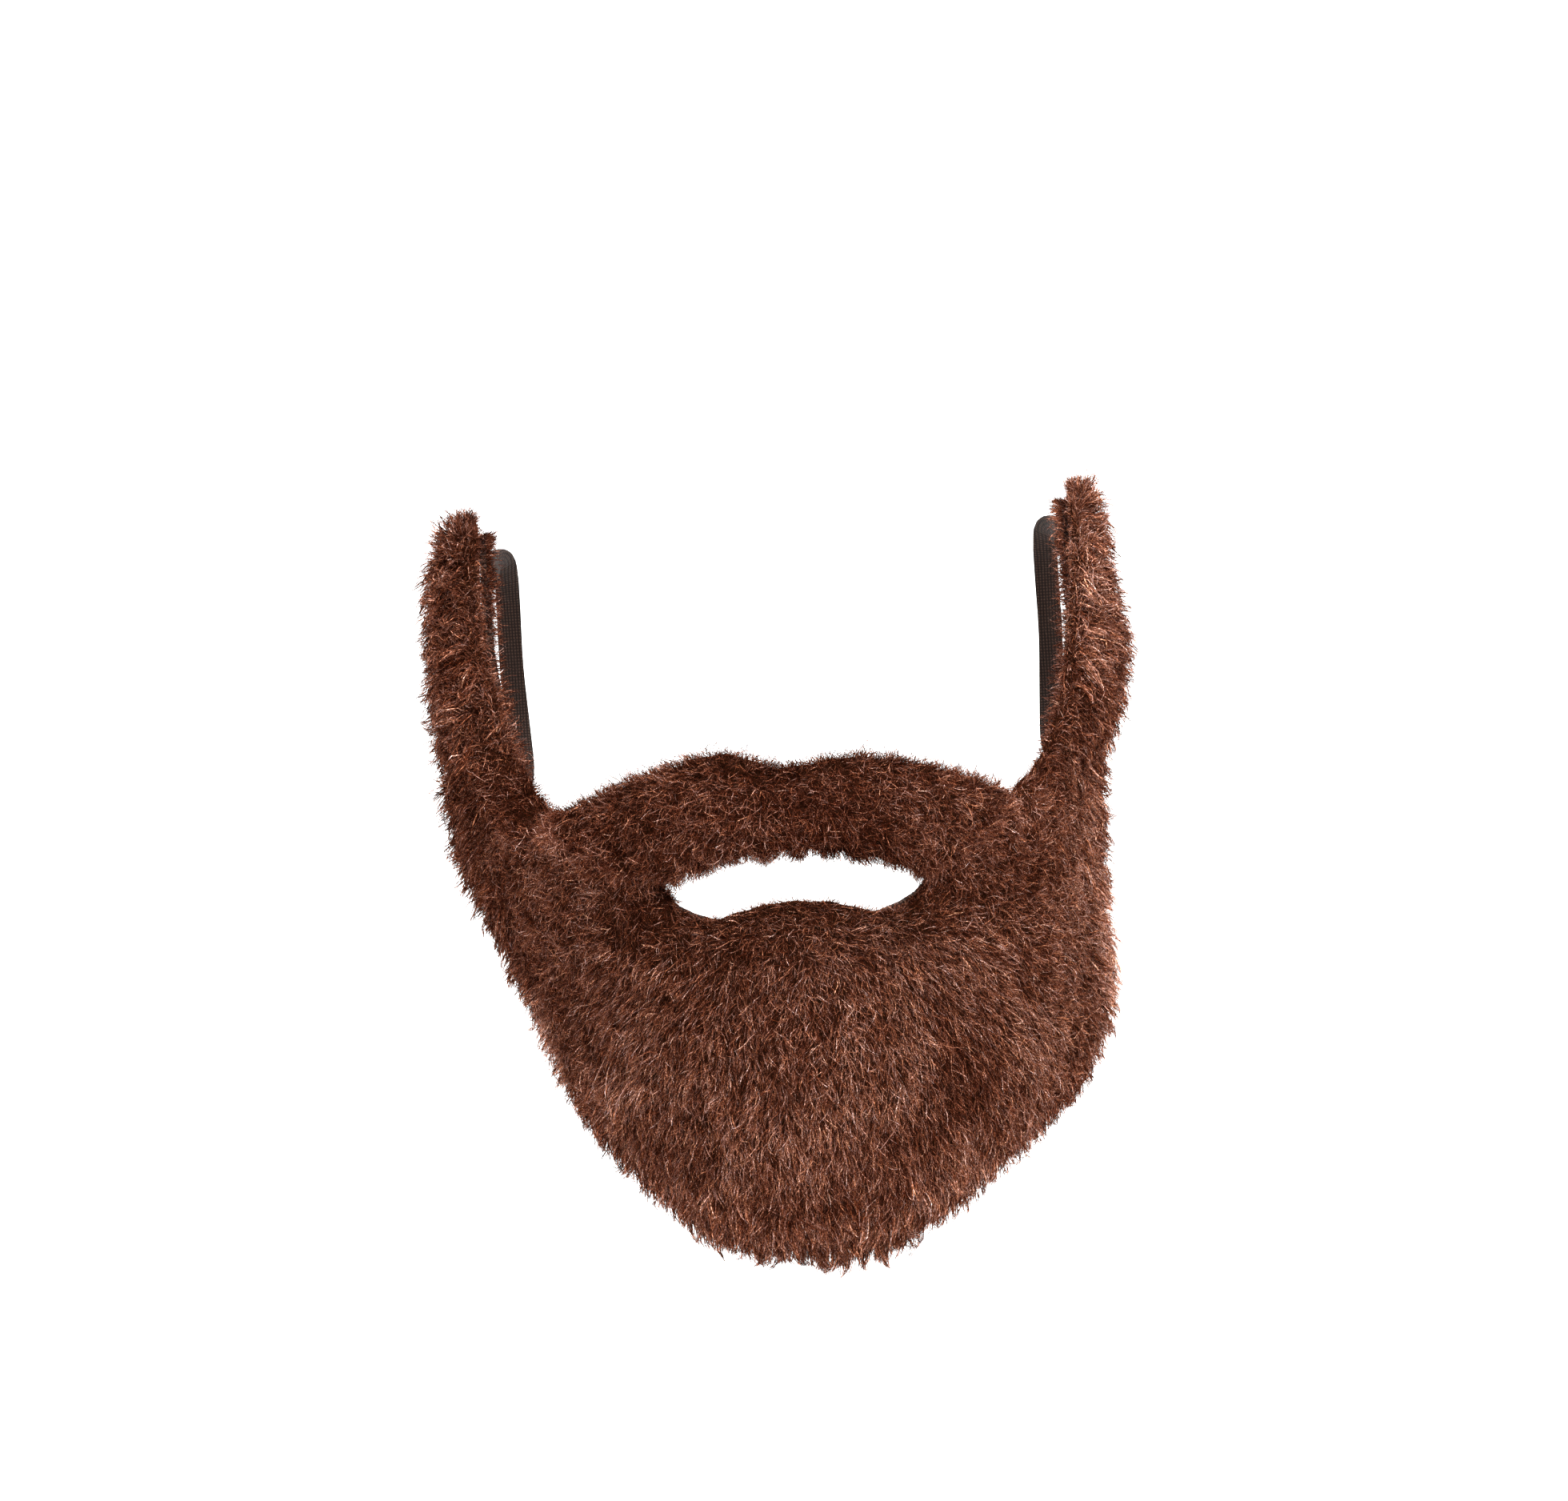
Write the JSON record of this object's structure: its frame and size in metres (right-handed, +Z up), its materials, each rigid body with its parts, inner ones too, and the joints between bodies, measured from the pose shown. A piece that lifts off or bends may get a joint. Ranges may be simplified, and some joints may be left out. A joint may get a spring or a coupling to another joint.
{
  "type": "costume beard with moustache",
  "caption": "Full costume beard with moustache: crimped hair on a cloth backing shaped to cheeks, lip and chin, open at the mouth, with flat elastic loops for the ears.",
  "frame": {"origin": "midway between the wearer's ears, on the line that joins the ear holes, where the loops hold it", "axes": "+Z up along the wearer's head, -Y the way the beard faces, +X towards the wearer's left"},
  "size_m": [0.1722, 0.1694, 0.1808],
  "materials": {
    "backing_cloth": "matte knitted cloth, dark brown",
    "crimped_hair": "crimped synthetic hair, chestnut brown with a soft gloss",
    "elastic": "matte woven elastic, dark brown"
  },
  "bodies": {
    "root": {"backing": "backing_cloth", "beard_hair": "crimped_hair", "moustache_hair": "crimped_hair", "ear_loop_left": "elastic", "ear_loop_right": "elastic"}
  },
  "joints": []
}
